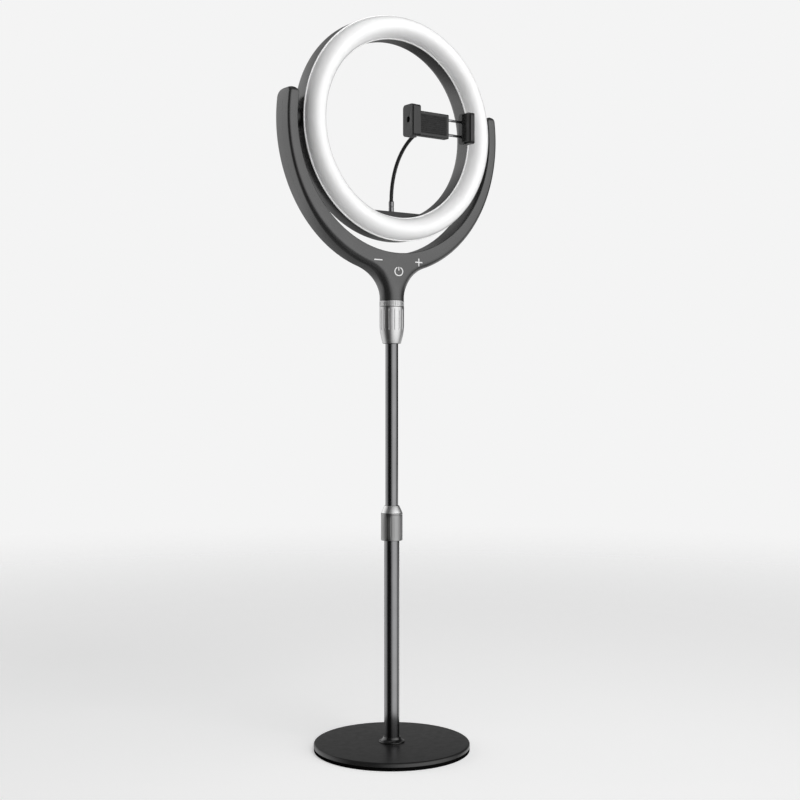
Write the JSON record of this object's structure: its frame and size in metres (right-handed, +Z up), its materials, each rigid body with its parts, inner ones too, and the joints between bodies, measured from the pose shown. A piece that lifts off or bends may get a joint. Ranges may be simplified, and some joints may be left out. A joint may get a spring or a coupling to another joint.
{
  "type": "ring light",
  "caption": "Round ring light on a tilting fork, with a telescopic table stand, a round weighted base and a gooseneck phone clamp.",
  "frame": {"origin": "centre of the underside of the round base, on the surface it stands on", "axes": "+Z up the stand, -Y the way the light faces, +X to the right of someone who faces the light"},
  "size_m": [0.2974, 0.182, 0.8514],
  "materials": {
    "satin_plastic": "satin grey-black moulded plastic",
    "black_plastic": "matt black moulded plastic",
    "gloss_black": "gloss black",
    "base_paint": "satin black powder coat",
    "tube_paint": "gloss dark grey",
    "satin_silver": "bright turned aluminium",
    "steel": "zinc-plated steel",
    "brass": "turned brass",
    "cast_iron": "bare plate",
    "foot_rubber": "matt foam rubber",
    "black_rubber": "matt soft rubber",
    "gooseneck_skin": "black ribbed sleeve",
    "diffuser_white": "milky white diffuser, satin",
    "key_print": "off-white inlay",
    "circuit_board": "green board",
    "lamp_board": "white board"
  },
  "bodies": {
    "base": {"base_cover": "base_paint", "base_weight": "cast_iron", "base_foot_pad": "foot_rubber", "base_washer": "steel", "base_bolt": "steel", "base_flange": "gloss_black", "lower_tube": "tube_paint", "tube_foot_nut": "brass", "height_collet": "black_plastic"},
    "collar": {"height_collar": "satin_silver"},
    "mast": {"upper_tube": "tube_paint", "slide_bush": "black_plastic", "mast_spigot": "brass", "pan_bush": "black_plastic"},
    "neck_nut": {"neck_nut": "satin_silver"},
    "yoke": {"yoke_stem": "steel", "neck_ring": "satin_silver", "yoke_front_shell": "satin_plastic", "yoke_rear_shell": "satin_plastic", "power_key_ring": "key_print", "power_key_bar": "key_print", "dimmer_key": "key_print", "brighter_key": "key_print", "touch_board": "circuit_board", "power_inlet": "steel", "yoke_screw_1": "steel", "yoke_screw_2": "steel", "yoke_screw_3": "steel", "yoke_screw_4": "steel", "friction_washer_left": "black_rubber", "friction_washer_right": "black_rubber"},
    "ring": {"ring_diffuser": "diffuser_white", "ring_rear_shell": "satin_plastic", "led_board": "lamp_board", "pivot_hub_left": "black_plastic", "pivot_hub_right": "black_plastic", "pivot_pin_left": "steel", "pivot_pin_right": "steel", "pivot_nut_left": "steel", "pivot_nut_right": "steel", "holder_shelf": "black_plastic", "neck_ferrule": "tube_paint", "gooseneck_lower": "gooseneck_skin"},
    "gooseneck_middle": {"gooseneck_middle": "gooseneck_skin"},
    "gooseneck_end": {"gooseneck_upper": "gooseneck_skin", "ball_stud": "steel"},
    "ball_socket": {"ball_cup": "black_plastic", "ball_lock_nut": "black_plastic"},
    "clamp": {"clamp_body": "satin_plastic", "clamp_back_pad": "black_rubber", "jaw_pad_left": "black_rubber", "clamp_spin_screw": "steel", "jaw_screw": "steel"},
    "sliding_jaw": {"clamp_jaw_right": "satin_plastic", "jaw_pad_right": "black_rubber", "guide_rod_lower": "steel", "guide_rod_upper": "steel", "jaw_spring_lower": "steel", "jaw_spring_upper": "steel"}
  },
  "joints": [
    {"name": "height_slide", "type": "slide", "parent": "base", "child": "mast", "axis": [0, 0, 1], "range_m": [-0.17, 0.05]},
    {"name": "collar_twist", "type": "hinge", "parent": "base", "child": "collar", "pos_m": [0, 0, 0.264], "axis": [0, 0, 1], "range_deg": [0, 120]},
    {"name": "neck_nut_twist", "type": "hinge", "parent": "mast", "child": "neck_nut", "pos_m": [0, 0, 0.498], "axis": [0, 0, 1], "range_deg": [0, 270]},
    {"name": "yoke_pan", "type": "hinge", "parent": "mast", "child": "yoke", "pos_m": [0, 0, 0.5228], "axis": [0, 0, 1], "range_deg": [-170, 170]},
    {"name": "ring_tilt", "type": "hinge", "parent": "yoke", "child": "ring", "pos_m": [0, 0, 0.7214], "axis": [1, 0, 0], "range_deg": [-90, 90]},
    {"name": "gooseneck_sway", "type": "hinge", "parent": "ring", "child": "gooseneck_middle", "pos_m": [0.0017, 0, 0.66246], "axis": [0, 1, 0], "range_deg": [-30, 30]},
    {"name": "gooseneck_nod", "type": "hinge", "parent": "gooseneck_middle", "child": "gooseneck_end", "pos_m": [0.01391, -0.00847, 0.70422], "axis": [1, 0, 0], "range_deg": [-30, 30]},
    {"name": "ball_tilt", "type": "hinge", "parent": "gooseneck_end", "child": "ball_socket", "pos_m": [0.0224, -0.0405, 0.7215], "axis": [1, 0, 0], "range_deg": [-20, 20]},
    {"name": "clamp_spin", "type": "hinge", "parent": "ball_socket", "child": "clamp", "pos_m": [0.0224, -0.0405, 0.7215], "axis": [0, 1, 0], "range_deg": [-95, 95]},
    {"name": "jaw_slide", "type": "slide", "parent": "clamp", "child": "sliding_jaw", "axis": [1, 0, 0], "range_m": [-0.015, 0.013], "stiffness_N_per_m": 80, "springref_m": -0.03, "deforming": ["jaw_spring_lower", "jaw_spring_upper"]}
  ]
}
